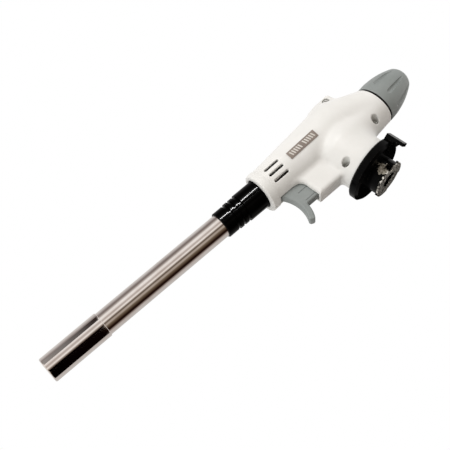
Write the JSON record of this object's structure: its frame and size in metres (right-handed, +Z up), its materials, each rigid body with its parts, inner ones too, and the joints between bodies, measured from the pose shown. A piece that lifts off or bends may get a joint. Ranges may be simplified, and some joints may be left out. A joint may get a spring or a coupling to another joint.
{
  "type": "gas torch head",
  "caption": "Hand torch head with a long steel flame tube, gas valve knob, piezo trigger and a bayonet socket for a gas cartridge, in a two-part moulded housing.",
  "frame": {"origin": "centre of the mouth of the cartridge socket, on the cartridge's axis", "axes": "+Z up the cartridge's axis, away from the cartridge; +X the way the flame goes, level; +Y the left side of someone aiming the torch"},
  "size_m": [0.3254, 0.048, 0.099],
  "materials": {
    "housing_plastic": "moulded ABS, warm white, fine satin grain",
    "grey_plastic": "moulded ABS, blue-grey, satin",
    "collar_plastic": "glass-filled phenolic, black, glossy",
    "black_plastic": "moulded, black, matte",
    "base_metal": "zinc die casting, gloss black paint, bare at the socket end",
    "stainless": "drawn stainless steel, bright",
    "brass": "turned, bright",
    "bronze": "sintered, porous",
    "zinc_steel": "zinc plated",
    "seal_rubber": "nitrile, black",
    "lead_rubber": "silicone, dark red",
    "ceramic": "glazed ceramic, ivory",
    "label_plastic": "printed plate, brown grey with cream bars"
  },
  "bodies": {
    "housing": {"housing_left": "housing_plastic", "housing_right": "housing_plastic", "housing_screws": "zinc_steel", "label_plate": "label_plastic", "barrel_collar": "collar_plastic", "flame_tube": "stainless", "nozzle_sleeve": "stainless", "burner_head": "brass", "flame_gauze": "stainless", "mixing_tube": "stainless", "electrode_rod": "zinc_steel", "electrode_insulator": "ceramic", "ignition_lead": "lead_rubber", "bayonet_base": "base_metal", "stem_seat": "brass", "stem_gasket": "seal_rubber", "base_screws": "zinc_steel", "valve_body": "brass", "spindle_seal": "seal_rubber", "gland_nut": "brass", "gas_jet": "brass", "jet_filter": "bronze", "piezo_igniter": "black_plastic", "trigger_spring": "zinc_steel", "earth_strip": "zinc_steel"},
    "knob": {"control_knob": "grey_plastic"},
    "spindle": {"valve_spindle": "zinc_steel"},
    "trigger": {"trigger": "grey_plastic", "piezo_plunger": "black_plastic"}
  },
  "joints": [
    {"name": "knob_turn", "type": "hinge", "parent": "housing", "child": "knob", "pos_m": [-0.0418, 0, 0.0439], "axis": [-1, 0, 0], "range_deg": [0, 540]},
    {"name": "spindle_travel", "type": "slide", "parent": "knob", "child": "spindle", "axis": [-1, 0, 0], "range_m": [0, 0.00113]},
    {"name": "trigger_pull", "type": "slide", "parent": "housing", "child": "trigger", "axis": [-0.9903, 0, -0.1392], "range_m": [0, 0.005], "stiffness_N_per_m": 1500, "springref_m": -0.004, "deforming": ["trigger_spring"]}
  ],
  "couplings": [
    {"joint": "spindle_travel", "follows": "knob_turn", "m_per_rad": 0.00011937}
  ]
}
